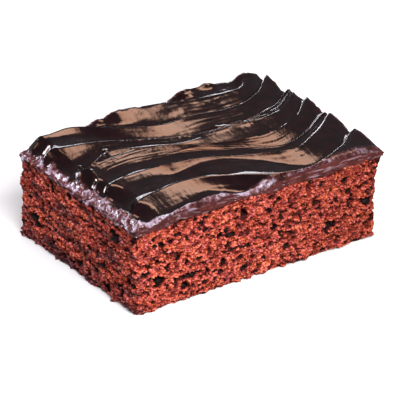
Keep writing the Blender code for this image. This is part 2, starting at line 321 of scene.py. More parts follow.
# %% Bubbles
# The holes that the photograph shows: place along the side, height and radius in mm.
FRONT_HOLES = (
    (-34.5, 8.3, 1.9), (-28.9, 6.9, 0.7), (-27.6, 7.1, 0.7), (-26.2, 7.1, 0.7), (-24.9, 7.2, 0.8),
    (-23.6, 7.2, 0.9), (-22.2, 7.3, 0.7), (-21.2, 7.5, 0.7), (-18.5, 6.8, 0.9), (-14.4, 5.5, 0.9),
    (-26.2, 4.5, 1.2), (-31.7, 12.3, 1.0), (-27.9, 13.4, 0.9), (-25.0, 11.3, 0.8), (-33.4, 19.0, 0.9),
    (-30.2, 19.2, 0.8), (-25.2, 19.0, 0.7), (-22.2, 23.0, 0.7), (-29.8, 23.1, 0.7), (-5.6, 20.7, 1.1),
    (4.9, 13.3, 1.0), (-4.5, 10.4, 0.9), (-12.1, 12.7, 0.8), (-6.5, 4.1, 1.0), (-13.1, 8.3, 1.0),
    (8.9, 6.8, 0.9), (3.0, 19.2, 0.8), (-14.1, 16.4, 1.1), (-11.1, 15.5, 0.9), (-9.0, 15.2, 0.7),
    (7.3, 15.8, 0.7), (-36.0, 21.6, 0.7), (-35.1, 14.6, 0.7), (30.0, 21.0, 1.0), (37.7, 12.5, 1.5),
    (23.9, 8.4, 1.1), (25.7, 8.5, 1.1), (17.3, 24.5, 1.0), (31.4, 13.0, 0.8), (22.3, 0.8, 0.8),
    (6.1, 21.7, 0.7), (-19.5, 21.3, 0.7), (-32.8, 18.5, 0.7), (14.1, 13.2, 0.7), (20.4, 15.2, 0.7),
    (39.3, 16.2, 0.7), (35.3, 6.4, 0.7),
)
LEFT_HOLES = (
    (21.6, 8.6, 1.9), (20.6, 7.1, 1.5), (18.0, 14.3, 1.0), (14.1, 16.2, 1.0), (12.2, 21.3, 1.0),
    (2.6, 23.0, 1.0), (-19.3, 20.8, 1.3), (-20.8, 19.6, 1.3), (-8.8, 23.6, 0.8), (-1.6, 10.6, 0.8),
    (-9.0, 14.7, 0.8), (6.7, 2.3, 1.2), (3.0, 2.7, 1.2), (-0.2, 3.1, 1.0), (12.0, 5.2, 1.2),
    (-10.2, 5.5, 1.0), (-14.7, 2.7, 1.2), (-16.2, 2.5, 1.2), (-22.3, 5.5, 1.0), (-23.8, 4.6, 1.0),
    (-26.4, 8.5, 0.8), (-27.9, 8.5, 0.8), (-29.3, 8.6, 0.8), (-4.2, -1.6, 1.0), (14.5, 7.7, 0.8),
    (-14.9, 8.8, 0.8), (16.6, 10.1, 0.8),
)
BUBBLE_SEED = 5
BUBBLES_EACH_CM2 = 5
BUBBLE_RADII = (0.35 * MM, 1.25 * MM)
SMALL_BUBBLES = 2.2  # the higher, the fewer of the bubbles are large
BUBBLE_FLATNESS = 0.62
BUBBLE_DEPTH = 1.15  # over its radius
NAMED_DEPTH = 2.2  # the named holes are deeper than the others by this factor
BUBBLE_RAGGED = 0.35
BUBBLE_REACH = 1.5  # no bubble's ragged rim lies farther from its centre than this many radii


def bubbles():
    """Centre, radius, outward direction and whether it's named, of every bubble, the named ones first."""
    front, left = Vector((0, -1, 0)), Vector((-1, 0, 0))
    for x, z, radius in FRONT_HOLES:
        yield Vector((x * MM, -WIDTH / 2, z * MM)), radius * MM, front, True
    for y, z, radius in LEFT_HOLES:
        yield Vector((-LENGTH / 2, y * MM, z * MM)), radius * MM, left, True
    chance = random.Random(BUBBLE_SEED)
    small, large = BUBBLE_RADII
    sides = ((front, LENGTH, WIDTH), (-front, LENGTH, WIDTH), (left, WIDTH, LENGTH), (-left, WIDTH, LENGTH))
    for out, length, distance in sides:
        along_side = Vector((abs(out.y), abs(out.x), 0))
        for _ in range(round(BUBBLES_EACH_CM2 * length * CAKE_HEIGHT * 1e4)):
            centre = out * distance / 2 + along_side * chance.uniform(-length / 2, length / 2)
            centre.z = chance.uniform(0.0, CAKE_HEIGHT)
            yield centre, small + (large - small) * chance.random() ** SMALL_BUBBLES, out, False


def bubble_depths(points):
    """How deep a bubble is at each point of the walls."""
    tree = kdtree.KDTree(len(points))
    for i, point in enumerate(points):
        tree.insert(point, i)
    tree.balance()
    depths = [0.0] * len(points)
    for centre, radius, out, named in bubbles():
        flatness = 1.0 if named else BUBBLE_FLATNESS
        for point, i, _ in tree.find_range(centre, radius * BUBBLE_REACH):
            across = point - centre
            across -= out * across.dot(out)
            ragged = 1.0 + BUBBLE_RAGGED * waves(point, 0.9)
            reach = math.hypot(across.x, across.y, across.z / flatness) / (radius * ragged)
            if reach < 1.0:
                depth = BUBBLE_DEPTH * radius * (1.0 - reach**2.5)
                depths[i] = max(depths[i], depth * (NAMED_DEPTH if named else 1.0))
    return depths


wall_points = [v.co.copy() for v in cake.data.vertices]
holes = bubble_depths(wall_points)
print("bubbles reach", sum(d > 0 for d in holes), "of", len(holes), "points")

# %% Crumbs
CRAG_SIZE = 5.5 * MM
CRAG_HEIGHT = 0.9 * MM
LUMP_SIZE = 2.3 * MM
LUMP_HEIGHT = 0.55 * MM
CRUMB_SIZE = Vector((1.25 * MM, 1.25 * MM, 0.95 * MM))
CRUMB_HEIGHT = 0.55 * MM
CRUMB_GAP = 0.42  # width of the gap between two crumbs, over a crumb's
CRUMB_ROUND = 0.45  # share of a crumb's height that is round, and not flat with a gap around it
GRAIN_SIZE = Vector((0.62 * MM, 0.62 * MM, 0.5 * MM))
GRAIN_HEIGHT = 0.16 * MM
TEAR_SIZE = Vector((2.1 * MM, 2.1 * MM, 1.2 * MM))
TEAR_FROM = 0.16  # the noise tears the crumb where it is higher than this
TEAR_DEPTH = 3.4 * MM
DEEPEST = 3.0 * MM
HOLE_DARKNESS = 0.45  # added to the depth in a hole, because no light gets in


def scaled(point, size):
    return Vector((point.x / size.x, point.y / size.y, point.z / size.z))


def crumb(point):
    """Height of the crumbs here, from 0 in a gap to 1 on a crumb."""
    near, second = noise.voronoi(scaled(point, CRUMB_SIZE))[0][:2]
    flat = smoothstep(second - near, 0.0, CRUMB_GAP)
    return (1.0 - CRUMB_ROUND) * flat + CRUMB_ROUND * (1.0 - min(1.0, near * near * 1.6))


def grain(point):
    """The same for the grains on the crumbs."""
    near, second = noise.voronoi(scaled(point, GRAIN_SIZE))[0][:2]
    return smoothstep(second - near, 0.0, 0.5)


def tear(point):
    """Depth of the ragged pits that noise opens."""
    value = noise.noise(scaled(point, TEAR_SIZE) + Vector((3.1, 7.7, 1.3)))
    return max(0.0, value - TEAR_FROM) * TEAR_DEPTH


corner = wall_points[0]
print("a crumb, a grain and a tear:", round(crumb(corner), 2), round(grain(corner), 2), tear(corner))

# %% [markdown]
# Every point of the walls now moves out along its wall by the sum of these, and a little sideways, so that
# the crumbs don't sit in the mesh's rows. How far it ends up under the crumbs' tops is kept in an
# attribute, for the material.

# %% Shaping the cake
FOOT_SHARE = 0.12  # the lowest part of the height, where the edge is broken
CHIPPED_EDGE = 0.9 * MM
FOOT_BEND = 0.35 * MM  # how far the rings under the slab bend up towards its broken edge
BENT = (0.2 * MM, 0.9 * MM)  # they bend less and less between these distances from the edge
OUTWARD = 0.30  # the crumbs stand out from the slab by this share of their height
LIFT_RIGHT = 1.0 * MM
SIDEWAYS = 0.22 * MM
SIDEWAYS_SEED = 5
CALM_TOP = 0.6  # share by which the crumb is smoother right under the icing
CALM_FROM = 0.85  # share of the height from which it gets smoother
FLARE_RIGHT = 2.4 * MM
FLARE_FROM = 0.70
# On the right the crumb never reaches farther than the second of these past the first.
FARTHEST = (LENGTH / 2 + 0.8 * MM, 0.8 * MM)
STRETCHED_FROM = 0.82  # from this share of the height up, the walls are stretched to meet the icing
DARK_HOLE = 1.5 * MM  # a hole this deep is as dark as any


def shape_cake_point(point, hole):
    """Where a point of the box goes, and how deep in the crumb it then lies."""
    inset = min(LENGTH / 2 - abs(point.x), WIDTH / 2 - abs(point.y))
    share = point.z / CAKE_HEIGHT
    if inset > TINY:
        moved = point.copy()
        if point.z < TINY:
            edge = 1.0 - smoothstep(inset, *BENT)
            moved.z += edge * FOOT_BEND * (1.0 + noise.noise(point / LUMP_SIZE))
        return moved, 0.0
    place, out = outline(point.x, point.y)
    place.z = point.z
    relief = CRAG_HEIGHT * noise.noise(place / CRAG_SIZE)
    relief += LUMP_HEIGHT * noise.noise(place / LUMP_SIZE + Vector((7.0, 3.0, 5.0)))
    depth = CRUMB_HEIGHT * (1.0 - crumb(place)) + GRAIN_HEIGHT * (1.0 - grain(place))
    depth = depth + tear(place) + hole
    depth = DEEPEST * (1.0 - math.exp(-depth / DEEPEST))
    sideways = noise.noise_vector(place / (1.1 * MM)) * SIDEWAYS
    sideways -= out * sideways.dot(out)
    calm = 1.0 - CALM_TOP * smoothstep(share, CALM_FROM, 1.0)
    place += out * (relief * calm - depth * calm) + sideways
    place.z = max(0.0, place.z)
    place.x += out.x * lean(LEAN_LEFT if out.x < 0 else LEAN_RIGHT, share)
    place.x += max(0.0, out.x) * FLARE_RIGHT * smoothstep(share, FLARE_FROM, 1.0)
    place.y += out.y * lean(LEAN_FRONT if out.y < 0 else LEAN_BACK, share)
    place += out * CRUMB_HEIGHT * OUTWARD
    start, room = FARTHEST
    if place.x > start:
        place.x = start + room * (1.0 - math.exp((start - place.x) / room))
    if share < FOOT_SHARE:
        broken = (1.0 - share / FOOT_SHARE) ** 2
        chip = CHIPPED_EDGE * broken * max(0.0, 0.4 + noise.noise(place / LUMP_SIZE))
        place -= out * chip
        place.z += 0.5 * chip + broken * LIFT_RIGHT * smoothstep(point.x, 0.0, LENGTH / 2)
    return place, depth


noise.seed_set(SIDEWAYS_SEED)  # without it, noise_vector would differ from run to run
crumb_depths = []
for vertex, hole in zip(cake.data.vertices, holes):
    place, depth = shape_cake_point(vertex.co.copy(), hole)
    raised = cake_top(place.x, place.y) - CAKE_HEIGHT + joint_rise(place.x, place.y) + OVERLAP
    place.z += raised * smoothstep(vertex.co.z / CAKE_HEIGHT, STRETCHED_FROM, 1.0)
    vertex.co = place + slab_centre
    crumb_depths.append(depth / DEEPEST + HOLE_DARKNESS * min(1.0, hole / DARK_HOLE))
add_attribute(cake.data, "depth", crumb_depths)
cake.data.update()
select_only(cake)
bpy.ops.object.shade_smooth()
print("crumb:", triangles(cake.data), "triangles", f"{time.time() - started:.1f} s")

# %% [markdown]
# ## The crumb's material
#
# The colour of crumb follows its depth: the tips are dry and pale, the walls of the bubbles are moist and
# dark, and the gaps get darker still because little light reaches them. So the attribute kept while shaping
# drives a ramp. Broad noise then makes some patches redder and some browner, and narrow noise sets single
# crumbs apart, as they are in any baked crumb. It is matt, with a slight sheen of fat.


# %% Helpers for materials
def new_material(name):
    material = bpy.data.materials.new(name)
    material.use_nodes = True
    tree = material.node_tree
    tree.nodes.clear()
    shader = tree.nodes.new("ShaderNodeBsdfPrincipled")
    output = tree.nodes.new("ShaderNodeOutputMaterial")
    tree.links.new(shader.outputs["BSDF"], output.inputs["Surface"])
    return material, tree, shader


def add_node(tree, kind, inputs=(), **settings):
    """Adds a node. An input is a number, a colour, or another node's output to link."""
    node = tree.nodes.new("ShaderNode" + kind)
    for key, value in settings.items():
        setattr(node, key, value)
    for key, value in dict(inputs).items():
        if isinstance(value, bpy.types.NodeSocket):
            tree.links.new(value, node.inputs[key])
        else:
            node.inputs[key].default_value = value
    return node


def add_ramp(tree, factor, stops):
    node = add_node(tree, "ValToRGB", {"Fac": factor})
    ramp = node.color_ramp
    while len(ramp.elements) < len(stops):
        ramp.elements.new(1.0)
    for element, (position, colour) in zip(ramp.elements, stops):
        element.position = position
        element.color = (*colour, 1.0)
    return node.outputs["Color"]


def add_noise(tree, place, scale, detail=3.0, roughness=0.5):
    inputs = {"Vector": place, "Scale": scale, "Detail": detail, "Roughness": roughness}
    return add_node(tree, "TexNoise", inputs).outputs["Fac"]


def add_sum(tree, operation, first, second, third=0.0, clamp=False):
    inputs = {0: first, 1: second, 2: third}
    return add_node(tree, "Math", inputs, operation=operation, use_clamp=clamp).outputs["Value"]


def add_range(tree, value, start, end, low=0.0, high=1.0):
    """Turns the range from start to end into the range from low to high, and clamps past it."""
    inputs = {"Value": value, "From Min": start, "From Max": end, "To Min": low, "To Max": high}
    return add_node(tree, "MapRange", inputs).outputs["Result"]


def add_vector(tree, operation, first, second):
    return add_node(tree, "VectorMath", {0: first, 1: second}, operation=operation).outputs["Vector"]


def add_mix(tree, blend, factor, first, second):
    """Mixes two colours."""
    node = add_node(tree, "Mix", data_type="RGBA", blend_type=blend)
    for socket, value in ((node.inputs[0], factor), (node.inputs[6], first), (node.inputs[7], second)):
        if isinstance(value, bpy.types.NodeSocket):
            tree.links.new(value, socket)
        else:
            socket.default_value = value
    return node.outputs[2]


def add_attribute_node(tree, name):
    return add_node(tree, "Attribute", attribute_name=name).outputs["Fac"]


print("material helpers ready")

# %% Crumb material
PLAIN = (1.0, 1.0, 1.0)  # a factor that leaves a colour as it is

crumb_material, tree, shader = new_material("chocolate_crumb")
place = add_node(tree, "TexCoord").outputs["Object"]
depth = add_attribute_node(tree, "depth")
wobble = add_node(tree, "TexNoise", {"Vector": place, "Scale": 1300.0, "Detail": 2.0}).outputs["Color"]
shifted = add_vector(tree, "SUBTRACT", wobble, (0.5, 0.5, 0.5))
shifted = add_vector(tree, "MULTIPLY", shifted, (0.8 * MM, 0.8 * MM, 0.8 * MM))
ragged = add_vector(tree, "ADD", place, shifted)
squashed = add_vector(tree, "MULTIPLY", ragged, (0.88, 0.65, 1.4))
grains = add_node(tree, "TexVoronoi", {"Vector": squashed, "Scale": 1500.0}).outputs["Distance"]
specks = add_noise(tree, squashed, 2000.0, 2.0)
pores = add_range(tree, add_noise(tree, squashed, 620.0, 2.0), 0.57, 0.70, high=0.7)
dark = add_sum(tree, "MULTIPLY_ADD", grains, 0.5, add_sum(tree, "ADD", depth, pores))
dark = add_sum(tree, "MULTIPLY_ADD", specks, -0.8, add_sum(tree, "ADD", dark, 0.19), clamp=True)
depth_stops = (
    (0.0, (0.80, 0.215, 0.148)),
    (0.12, (0.55, 0.086, 0.050)),
    (0.26, (0.27, 0.031, 0.018)),
    (0.48, (0.065, 0.006, 0.005)),
    (0.75, (0.006, 0.001, 0.001)),
)
patch_stops = ((0.30, (0.62, 0.50, 0.52)), (0.50, PLAIN), (0.70, (1.12, 1.25, 1.2)))
hue_stops = ((0.34, (0.86, 0.90, 1.4)), (0.50, PLAIN), (0.66, (1.03, 1.14, 0.86)))
patches = add_ramp(tree, add_noise(tree, place, 130.0, 3.0), patch_stops)
hues = add_ramp(tree, add_noise(tree, place, 750.0, 2.0), hue_stops)
crumb_colour = add_mix(tree, "MULTIPLY", 1.0, add_ramp(tree, dark, depth_stops), patches)
crumb_colour = add_mix(tree, "MULTIPLY", 1.0, crumb_colour, hues)
print("crumb colour:", len(tree.nodes), "nodes so far")

# %% [markdown]
# The sides aren't all alike. The crust at the foot is darker at the left end, where the tray was hottest,
# and the crumb tore there in moist, dark layers. Towards the right end the crumb is moister, and so darker.

# %% Crust, layers and moisture
CRUST = (2.0 * MM, 5.5 * MM)  # over these heights the crust gives way to crumb
LEFT_SKIN = 3.0 * MM
MOIST = (-8.0 * MM, 32.0 * MM)  # between these places along the slab the crumb gets moister

spots = add_node(tree, "SeparateXYZ", {"Vector": place}).outputs
at_foot = add_range(tree, spots["Z"], *CRUST, 1.0, 0.0)
at_left = add_range(tree, spots["X"], -LENGTH / 2, LEFT_SKIN - LENGTH / 2, 1.0, 0.0)
crust = add_sum(tree, "MULTIPLY", at_foot, at_left)
layered = add_noise(tree, add_vector(tree, "MULTIPLY", place, (1.0, 0.2, 1.1)), 430.0, 3.0)
layers = add_sum(tree, "MULTIPLY", add_range(tree, layered, 0.50, 0.60, high=0.95), at_left)
moist = add_ramp(tree, add_range(tree, spots["X"], *MOIST), ((0.0, PLAIN), (1.0, (0.70, 0.64, 0.58))))
shades = (
    (crust, (0.62, 0.72, 0.95, 1.0)),
    (at_left, (1.18, 1.08, 1.04, 1.0)),
    (layers, (0.34, 0.50, 0.70, 1.0)),
    (1.0, moist),
)
for share, shade in shades:
    crumb_colour = add_mix(tree, "MULTIPLY", share, crumb_colour, shade)
tree.links.new(crumb_colour, shader.inputs["Base Color"])
bump = add_node(tree, "Bump", {"Height": dark, "Strength": 0.8, "Distance": 0.4 * MM}, invert=True)
tree.links.new(bump.outputs["Normal"], shader.inputs["Normal"])
shader.inputs["Roughness"].default_value = 0.6
shader.inputs["Specular IOR Level"].default_value = 0.15
cake.data.materials.append(crumb_material)
print("crumb material:", len(tree.nodes), "nodes")

# %% [markdown]
# ## The icing: where the blade went
#
# The icing was poured thick and swept with a palette knife in long S-shaped strokes from end to end. Each
# stroke pushed up a ridge along its rear side, and the next stroke, farther back, cut that ridge's rear
# face steep. So the whole surface is given by a few crest lines: between two of them the icing drops
# steeply behind the first crest, bottoms out, and climbs in a hollow curve to the next.
#
# A grid could be sculpted over a plain x-y raster, but the crests are sharp and run at a slant, and a
# raster would give them teeth. Here the grid's rows follow the crest lines instead: its columns are places
# along the slab, and its rows are shares of the way from one crest to the next.

# %% The strokes
# Each stroke ends at its rear in a crest. A stroke has the crest's height over the cake at the right end in
# mm, the rows of points that it gets, the share of its width that lies nearly flat, the slope of the rest in
# degrees, and the crest's place in mm, from front to back. The last three are given at stations along it.
STATIONS = (-44, -34, -25, -15, -4, 8, 20, 32, 44)
Stroke = namedtuple("Stroke", "crest rows flats slopes places")
STROKES = (
    Stroke(
        4.6, 0,
        (0.3,) * len(STATIONS),
        (18,) * len(STATIONS),
        (-50, -44, -41, -41, -43, -52, -56, -56, -48),
    ),
    Stroke(
        4.33, 22,
        (0.2, 0.2, 0.19, 0.08, 0.02, 0.02, 0.02, 0.02, 0.02),
        (34, 34, 34, 33.6, 33, 33.6, 34, 34, 34),
        (-38.4, -31.9, -30.3, -30.1, -32.7, -40.4, -41, -45.9, -35.1),
    ),
    Stroke(
        4.69, 30,
        (0.02, 0.02, 0.31, 0.47, 0.32, 0.23, 0.14, 0.21, 0.32),
        (4.6, 12.3, 15.3, 19.1, 27.3, 15.5, 3, 3, 16.9),
        (-25.9, -20.5, -18.1, -17.9, -22.6, -29.4, -30, -25.3, -18),
    ),
    Stroke(
        4.97, 32,
        (0.49, 0.59, 0.63, 0.63, 0.88, 0.76, 0.17, 0.02, 0.02),
        (9.8, 11.4, 14.3, 23.2, 22.9, 19.3, 18.5, 10.6, 17.5),
        (-14.8, -7.5, -6.4, -7.2, -9.6, -15.7, -19.6, -13.6, -5.2),
    ),
    Stroke(
        4.58, 12,
        (0.67, 0.66, 0.69, 0.77, 0.84, 0.86, 0.73, 0.76, 0.75),
        (3.2, 7.7, 11.5, 12.7, 11.3, 13.9, 14.6, 15.3, 18.8),
        (-9.4, -1.8, 0.7, -0.4, -3.6, -10.3, -15.2, -10.7, -4.2),
    ),
    Stroke(
        5.74, 22,
        (0.02, 0.02, 0.02, 0.02, 0.02, 0.02, 0.02, 0.02, 0.14),
        (7.8, 12.7, 14.5, 12.6, 18.5, 25, 21.8, 16.9, 20.3),
        (0.4, 3.3, 4.4, 4.3, -1.6, -7.1, -8.1, -3.7, 5.5),
    ),
    Stroke(
        5.2, 12,
        (0.63, 0.45, 0.27, 0.22, 0.1, 0.17, 0.24, 0.39, 0.67),
        (9.7, 16.5, 15, 17.8, 17.7, 11.5, 12.5, 18.8, 31.3),
        (1.0, 3.9, 8.8, 5.3, 1.1, 1.2, 0.8, 3.3, 12.6),
    ),
    Stroke(
        5.36, 28,
        (0.14, 0.45, 0.33, 0.46, 0.65, 0.88, 0.88, 0.88, 0.88),
        (17.1, 17.2, 13.1, 9.1, 9.2, 11.4, 16.6, 19.8, 21.2),
        (20.6, 17.9, 15.6, 10.6, 5.2, 2.7, 3.1, 6.5, 13.8),
    ),
    Stroke(
        5.66, 32,
        (0.88, 0.78, 0.58, 0.32, 0.23, 0.02, 0.05, 0.16, 0.28),
        (23, 19.4, 17.6, 15.9, 16.3, 10.2, 10, 15.5, 23.1),
        (27.7, 27.2, 27.1, 19.7, 14.3, 13.9, 11.7, 15.5, 25.6),
    ),
    Stroke(
        5.12, 26,
        (0.64, 0.75, 0.62, 0.45, 0.42, 0.13, 0.02, 0.03, 0.09),
        (32.9, 27.0, 20.0, 17.6, 16.4, 12.7, 10.2, 13.5, 18.4),
        (45.1, 41.2, 39.5, 33.8, 29.8, 26.3, 22.9, 23.1, 35.9),
    ),
    Stroke(
        5.45, 22,
        (0.82, 0.69, 0.59, 0.54, 0.5, 0.48, 0.54, 0.59, 0.88),
        (34, 34, 34, 34, 34, 28, 15.5, 17.5, 5.6),
        (58.8, 55.9, 50.4, 43.6, 38.8, 34.1, 29.8, 34.8, 41.7),
    ),
    Stroke(
        6.4, 16,
        (0.02, 0.04, 0.05, 0.07, 0.09, 0.12, 0.16, 0.2, 0.25),
        (7.8, 8.1, 8.1, 8.1, 7.9, 7.8, 8.2, 8.5, 8.9),
        (66, 60, 56.1, 52.1, 47.5, 45.2, 43.5, 47.2, 57.3),
    ),
)


def along(values, x):
    """The value at this distance along the slab, on a smooth curve through the values at the stations."""
    x = x / MM
    last = len(STATIONS) - 2
    span = min(last, max(0, sum(station <= x for station in STATIONS) - 1))
    before, start, end, after = (values[min(last + 1, max(0, span + i))] for i in (-1, 0, 1, 2))
    share = (x - STATIONS[span]) / (STATIONS[span + 1] - STATIONS[span])
    slope_start = (end - before) / 2
    slope_end = (after - start) / 2
    bend = 3 * (end - start) - 2 * slope_start - slope_end
    twist = 2 * (start - end) + slope_start + slope_end
    return start + share * (slope_start + share * (bend + share * twist))


def crest_y(stroke, x):
    return along(stroke.places, x) * MM


print("crests at mid-slab, in mm:", [round(crest_y(stroke, 0.0) / MM, 1) for stroke in STROKES])

# %% Thickness of the icing
THINNEST = 0.9 * MM
LEFT_CRESTS = 0.78  # a crest's height at the left end over its height at the right
SWELL_FROM = 3.2 * MM  # the strokes rise to their full height between these distances from the left end
SWELL_TO = 9.0 * MM
SWELL_FALL = 0.38  # share by which the second is shorter in the far half. At the corner it's half as much
SWELL_NEARER = 0.5  # share by which the first is shorter at the far end
CREST_LEAD = 3.0 * MM  # how much nearer to the left rim the crests begin than the grooves of wide strokes
WIDE_STROKE = 11.0 * MM
SCOOP_LEFT = 1.0 * MM  # thickness where the blade was set down, inside the left rim
STEEP_SHARE = 0.16  # part of a stroke taken up by the back of the crest in front of it, on average
STEEP_VARIES = 0.7
STEEP_LEFT = 0.25  # added to it where the strokes begin
TURN = 0.10  # share of a stroke's long side over which the gentle slope turns into the steep one
GENTLE = math.radians(1.1)
CREST_WAVE = 0.02


def full_height(x, y, share, width):
    """Share of its full height that a stroke has here. At the left, a wide stroke's groove rises last."""
    far = min(1.0, max(0.0, 0.5 + y / WIDTH))
    lag = min(1.0, width / WIDE_STROKE) * (1.0 - (2.0 * share - 1.0) ** 2)
    room = x + LENGTH / 2 + CREST_LEAD * (0.5 - lag)
    fall = SWELL_FALL * smoothstep(far, 0.2, 0.65) * (1.0 - 0.5 * smoothstep(far, 0.78, 0.98))
    return smoothstep(room, SWELL_FROM * (1.0 - SWELL_NEARER * far), SWELL_TO * (1.0 - fall))


def crest_height(number, x):
    """Height of a crest over the cake. It grows from left to right, and wavers a little."""
    share = x / LENGTH + 0.5
    waver = 1.0 + CREST_WAVE * noise.noise(Vector((x / (5.0 * MM), 7.3 * number, 0.5)))
    return STROKES[number].crest * MM * (LEFT_CRESTS + (1.0 - LEFT_CRESTS) * share) * waver


def long_side(climb, flat, slope):
    """Height over width after this share of a stroke's long side, which climbs gently and then steeply."""

    def bend(value):
        return (value - flat + math.hypot(value - flat, TURN)) / 2

    gentle, steep = math.tan(min(GENTLE, slope)), math.tan(slope)
    return gentle * climb + (steep - gentle) * (bend(climb) - bend(0.0))


def between_crests(x, share, number):
    """Thickness of the icing at this share of the way from one crest to the next one behind it."""
    behind = STROKES[number + 1]
    back = STEEP_SHARE * (1.0 + STEEP_VARIES * noise.noise(Vector((x / (6.0 * MM), 3.1 * number, 2.5))))
    back += STEEP_LEFT * (1.0 - full_height(x, 0.0, 0.5, WIDE_STROKE))
    width = (crest_y(behind, x) - crest_y(STROKES[number], x)) * (1.0 - back)
    flat, slope = along(behind.flats, x), math.radians(along(behind.slopes, x))
    top = crest_height(number + 1, x)
    rise = min(width * long_side(1.0, flat, slope), top - THINNEST)
    bottom = top - rise
    if share < back:
        fall = (1.0 + math.cos(math.pi * share / back)) / 2
        return bottom + (crest_height(number, x) - bottom) * fall
    climb = (share - back) / (1.0 - back)
    return bottom + rise * long_side(climb, flat, slope) / long_side(1.0, flat, slope)


print("mid-groove thickness in mm:", round(between_crests(0.0, 0.4, 4) / MM, 2))

# %% [markdown]
# A blade also leaves small things behind: dabs of icing that fell off it, wrinkles where it dragged, and
# thin steps along its edge. They are few and they show, so each is listed and added to the thickness as a
# soft bump.

# %% Dabs, crinkles and ledges
FADED = 2.2  # nothing is left of a bump this many times its radius away
# Dabs of icing that the blade dropped: place, radius and height in mm.
DABS = (
    (-25.0, 10.7, 1.0, 0.5), (-35.0, 8.4, 0.9, 0.35), (-39.8, -21.4, 1.0, 0.5), (-35.3, 3.1, 0.9, 0.3),
    (-33.7, 4.0, 0.9, 0.45), (-32.1, 4.9, 0.9, 0.45), (-30.5, 5.8, 0.9, 0.4),
    (-28.9, 6.7, 0.9, 0.35), (-27.3, 7.6, 0.9, 0.3), (10.2, 5.0, 0.9, 0.45), (12.0, 4.1, 1.1, 0.6),
    (14.2, 3.3, 1.0, 0.55), (16.3, 2.4, 1.1, 0.5), (18.2, 1.5, 0.9, 0.4), (-37.4, -0.3, 2.3, 1.1),
    (-9.5, 29.5, 3.5, 0.9), (14.7, 29.5, 2.6, 1.1), (24.2, 29.5, 2.0, 0.7), (38.0, 29.8, 3.0, 0.3),
)
# Lines along which the icing dragged and crinkled: two ends, half width and height in mm.
CRINKLES = (
    (9.8, 5.2, 20.5, 1.1, 1.2, 0.22), (-18.6, 12.0, -0.8, 3.7, 0.7, 0.16),
    (10.9, 28.2, 16.7, 28.7, 1.2, 0.25), (15.5, 19.2, 22.8, 20.3, 0.7, 0.16),
    (27.2, 12.7, 38.8, 23.0, 0.8, 0.16), (21.8, -17.4, 32.3, -14.6, 0.6, 0.12),
    (22.1, -7.9, 36.0, -0.2, 0.6, 0.12), (-38.3, -9.0, -38.4, -18.0, 1.5, 0.12),
    (33.5, 3.3, 41.0, 7.0, 0.7, 0.12),
)
# Thin steps that the blade's edge left: which stroke, share of its width, where it starts and ends, in mm.
LEDGES = ((2, 0.74, -9, 9), (1, 0.63, -15, 1), (4, 0.60, 12, 40), (6, 0.55, -22, -2), (9, 0.5, 8, 34))
LEDGE = 0.09 * MM
LEDGE_WIDTH = 0.025
LEDGE_END = 4  # mm over which a ledge runs out


def dabs_at(x, y):
    height = 0.0
    for dab_x, dab_y, radius, top in DABS:
        away = math.hypot(x / MM - dab_x, y / MM - dab_y) / radius
        if away < FADED:
            height += top * MM * math.exp(-(away**2))
    return height


def crinkles_at(x, y):
    height = 0.0
    place = Vector((x / MM, y / MM))
    for start_x, start_y, end_x, end_y, half_width, depth in CRINKLES:
        start, run = Vector((start_x, start_y)), Vector((end_x - start_x, end_y - start_y))
        share = min(1.0, max(0.0, (place - start).dot(run) / run.length_squared))
        away = (place - start - run * share).length / half_width
        if away < FADED:
            wrinkle = noise.noise(Vector((place.x / 1.1, place.y / 0.55, 2.0)))
            height += depth * MM * math.exp(-(away**2)) * wrinkle
    return height


def ledges_at(x, share, number):
    height = 0.0
    for stroke, middle, start, end in LEDGES:
        if stroke == number:
            ends = smoothstep(x, start * MM, (start + LEDGE_END) * MM)
            ends *= 1.0 - smoothstep(x, (end - LEDGE_END) * MM, end * MM)
            height += LEDGE * ends * math.exp(-(((share - middle) / LEDGE_WIDTH) ** 2))
    return height


print("a dab is", round(dabs_at(-35.0 * MM, 8.4 * MM) / MM, 2), "mm high")

# %% [markdown]
# The blade didn't reach everywhere. The left rim and the front edge were left lumpy, the knife tore the rear
# and the right edge and pulled all four down a little, and a bead hangs along the front. The lumps are noise,
# and each kind has a mask that says how much of it a place has.

# %% The icing's edges
EDGE_LEFT = -LENGTH / 2 - 0.3 * MM
EDGE_RIGHT = LENGTH / 2 + ICING_OUT_RIGHT - 0.15 * MM
EDGE_SIDE = WIDTH / 2 + 0.4 * MM
EDGE_ROUND = 1.8 * MM
EDGE_ROUND_LEFT = 3.2 * MM
CORNER_WIDER = 0.6  # how much wider the left end's rounding is at the far corner, as a factor less one
CORNER = (16.0 * MM, 28.0 * MM)  # it widens between these places across the slab


def edge_drop(x, y):
    """How far the top edge is rounded down where the knife went through, most of all along the left end."""
    drop = 0.0
    nearest = min(x - EDGE_LEFT, EDGE_RIGHT - x, y + EDGE_SIDE, EDGE_SIDE - y)
    left_reach = EDGE_ROUND_LEFT * (1.0 + CORNER_WIDER * smoothstep(y, *CORNER))
    for room, reach in ((nearest, EDGE_ROUND), (x - EDGE_LEFT, left_reach)):
        over = 1.0 - max(0.0, min(room, reach)) / reach
        drop = max(drop, reach * 0.5 * (1.0 - math.sqrt(max(0.0, 1.0 - over * over))))
    return drop


print("edges in mm:", [round(v / MM, 1) for v in (EDGE_LEFT, EDGE_RIGHT, EDGE_SIDE)])

